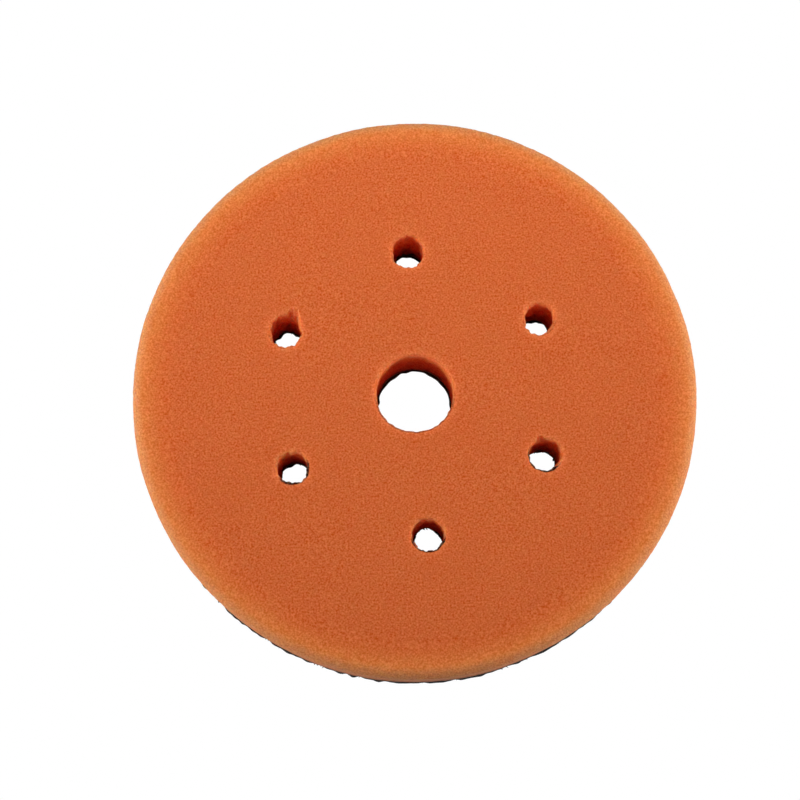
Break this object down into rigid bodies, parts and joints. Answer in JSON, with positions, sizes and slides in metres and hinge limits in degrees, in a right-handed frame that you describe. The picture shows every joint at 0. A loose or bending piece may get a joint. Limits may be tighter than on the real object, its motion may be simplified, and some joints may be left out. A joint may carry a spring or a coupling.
{
  "type": "foam polishing pad",
  "caption": "Round open-cell foam polishing pad with a rounded rim, a centre hole, a ring of vent holes and a black hook-and-loop backing.",
  "frame": {"origin": "middle of the loop face, on the pad's axis, on the surface that the pad lies on", "axes": "+Z along the pad's axis from the loop face out through the working face; +Y from the axis through the middle of one vent hole; +X completes a right-handed frame"},
  "size_m": [0.158, 0.158, 0.025],
  "materials": {
    "foam": "open-cell polyurethane foam, orange, matte and finely porous",
    "hot_melt_film": "hot-melt adhesive film, dull amber brown",
    "ground_cloth": "warp-knitted polyamide ground, black",
    "loop_pile": "brushed polyamide loops, black"
  },
  "bodies": {
    "root": {"foam_disc": "foam", "hot_melt_film": "hot_melt_film", "loop_ground_cloth": "ground_cloth", "loop_pile": "loop_pile"}
  },
  "joints": []
}
